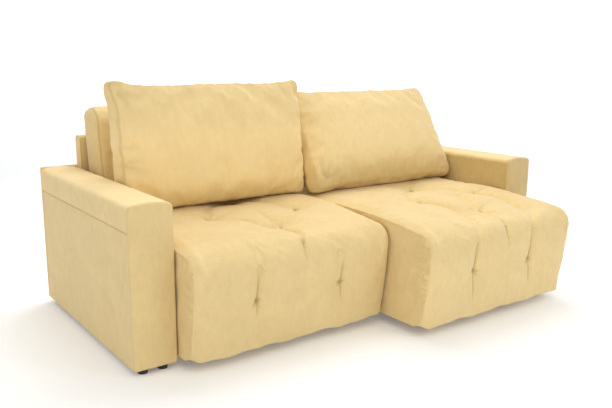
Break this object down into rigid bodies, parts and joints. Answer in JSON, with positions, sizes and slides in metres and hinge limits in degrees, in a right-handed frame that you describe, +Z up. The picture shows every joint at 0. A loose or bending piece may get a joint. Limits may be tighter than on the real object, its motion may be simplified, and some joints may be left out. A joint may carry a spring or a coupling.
{
  "type": "three-seater sofa",
  "caption": "Box-arm retractable sofa: wide tufted seats pull out on casters and rollers, backs recline on ratchet hinges, loose pillows lean on them.",
  "frame": {"origin": "on the floor, at the middle of the stored pose's outer box", "axes": "+X to the viewer's right, +Y to the back, +Z up; the seats face -Y"},
  "size_m": [2.3, 1.484, 1.0657],
  "materials": {
    "suede": "soft sand-yellow suede velvet",
    "timber": "planed softwood and plywood",
    "steel": "zinc plated",
    "black_plastic": "moulded",
    "webbing": "woven elastic"
  },
  "bodies": {
    "base": {"left_arm_frame": "timber", "left_arm_side_panel": "suede", "left_arm_top_band": "suede", "left_arm_front_facing": "suede", "left_arm_inner_panel": "suede", "right_arm_frame": "timber", "right_arm_side_panel": "suede", "right_arm_top_band": "suede", "right_arm_front_facing": "suede", "right_arm_inner_panel": "suede", "arm_feet": "black_plastic", "base_beams": "timber", "base_feet": "black_plastic", "runner_channels": "steel", "rear_frame": "timber", "rear_frame_cover": "suede", "fixed_hinge_leaves": "steel", "frame_bolts": "steel"},
    "left_seat": {"left_seat_side_boards": "timber", "left_seat_front_board": "timber", "left_seat_cross_rails": "timber", "left_seat_webbing": "webbing", "left_seat_pad": "suede", "left_seat_side_skirts": "suede", "left_caster_forks": "steel", "left_roller_brackets": "steel"},
    "left_casters": {"left_caster_wheels": "black_plastic"},
    "left_rollers": {"left_rear_rollers": "black_plastic"},
    "left_back": {"left_back_frame": "timber", "left_back_webbing": "webbing", "left_back_pad": "suede", "left_back_rear_cover": "suede", "left_back_hinge_leaves": "steel", "left_back_pawls_and_pins": "steel"},
    "left_pillow": {"left_pillow": "suede"},
    "right_seat": {"right_seat_side_boards": "timber", "right_seat_front_board": "timber", "right_seat_cross_rails": "timber", "right_seat_webbing": "webbing", "right_seat_pad": "suede", "right_seat_side_skirts": "suede", "right_caster_forks": "steel", "right_roller_brackets": "steel"},
    "right_casters": {"right_caster_wheels": "black_plastic"},
    "right_rollers": {"right_rear_rollers": "black_plastic"},
    "right_back": {"right_back_frame": "timber", "right_back_webbing": "webbing", "right_back_pad": "suede", "right_back_rear_cover": "suede", "right_back_hinge_leaves": "steel", "right_back_pawls_and_pins": "steel"},
    "right_pillow": {"right_pillow": "suede"}
  },
  "joints": [
    {"name": "left_seat_slide", "type": "slide", "parent": "base", "child": "left_seat", "axis": [0, -1, 0], "range_m": [0, 0.42]},
    {"name": "left_caster_spin", "type": "hinge", "parent": "left_seat", "child": "left_casters", "pos_m": [-0.4855, -0.274, 0.025], "axis": [1, 0, 0], "range_deg": [0, 963.57]},
    {"name": "left_roller_spin", "type": "hinge", "parent": "left_seat", "child": "left_rollers", "pos_m": [-0.4855, 0.596, 0.1163], "axis": [1, 0, 0], "range_deg": [0, 1719.87]},
    {"name": "left_back_recline", "type": "hinge", "parent": "base", "child": "left_back", "pos_m": [-0.4855, 0.662, 0.8], "axis": [-1, 0, 0], "range_deg": [0, 24]},
    {"name": "left_pillow_lean", "type": "hinge", "parent": "base", "child": "left_pillow", "pos_m": [-0.4855, 0.276, 0.72], "axis": [-1, 0, 0], "range_deg": [0, 24]},
    {"name": "right_seat_slide", "type": "slide", "parent": "base", "child": "right_seat", "axis": [0, -1, 0], "range_m": [-0.25, 0.17]},
    {"name": "right_caster_spin", "type": "hinge", "parent": "right_seat", "child": "right_casters", "pos_m": [0.4855, -0.524, 0.025], "axis": [1, 0, 0], "range_deg": [-573.96, 390.61]},
    {"name": "right_roller_spin", "type": "hinge", "parent": "right_seat", "child": "right_rollers", "pos_m": [0.4855, 0.346, 0.1163], "axis": [1, 0, 0], "range_deg": [-1024.14, 696.73]},
    {"name": "right_back_recline", "type": "hinge", "parent": "base", "child": "right_back", "pos_m": [0.4855, 0.662, 0.8], "axis": [-1, 0, 0], "range_deg": [-24, 0]},
    {"name": "right_pillow_lean", "type": "hinge", "parent": "base", "child": "right_pillow", "pos_m": [0.4855, 0.166, 0.985], "axis": [-1, 0, 0], "range_deg": [-24, 0]}
  ],
  "couplings": [
    {"joint": "left_caster_spin", "follows": "left_seat_slide", "rad_per_m": 40},
    {"joint": "left_roller_spin", "follows": "left_seat_slide", "rad_per_m": 71.429},
    {"joint": "left_pillow_lean", "follows": "left_back_recline", "ratio": 1},
    {"joint": "right_caster_spin", "follows": "right_seat_slide", "rad_per_m": 40},
    {"joint": "right_roller_spin", "follows": "right_seat_slide", "rad_per_m": 71.429},
    {"joint": "right_pillow_lean", "follows": "right_back_recline", "ratio": 1}
  ]
}
